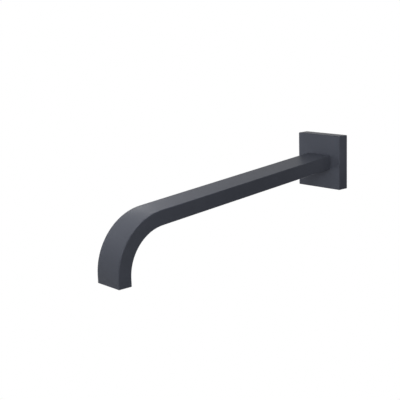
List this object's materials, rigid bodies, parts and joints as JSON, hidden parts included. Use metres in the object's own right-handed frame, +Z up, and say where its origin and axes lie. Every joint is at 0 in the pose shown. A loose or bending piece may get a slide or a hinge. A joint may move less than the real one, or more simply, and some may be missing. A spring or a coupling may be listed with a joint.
{
  "type": "wall spout",
  "caption": "Wall spout for a bath or basin: a flat rectangular tube leaves a thick square wall flange, runs out with a slight fall and bends straight down to a square-cut outlet.",
  "frame": {"origin": "on the inlet axis, in the plane of the finished wall (the back of the flange)", "axes": "+Z up, the spout comes out of the wall along -Y and its inlet spigot goes into the wall along +Y, +X to the right of someone facing the wall"},
  "size_m": [0.06, 0.3235, 0.1098],
  "materials": {
    "dark_coat": "satin",
    "raw_brass": "satin",
    "seal_rubber": "matte",
    "stainless": "satin",
    "insert_plastic": "satin"
  },
  "bodies": {
    "root": {"spout_tube": "dark_coat", "wall_flange": "dark_coat", "inlet_shank": "raw_brass", "arm_seal": "seal_rubber", "wall_seal": "seal_rubber", "insert_seal": "seal_rubber", "set_screw": "stainless", "strainer_screen": "stainless", "flow_straightener": "insert_plastic"}
  },
  "joints": []
}
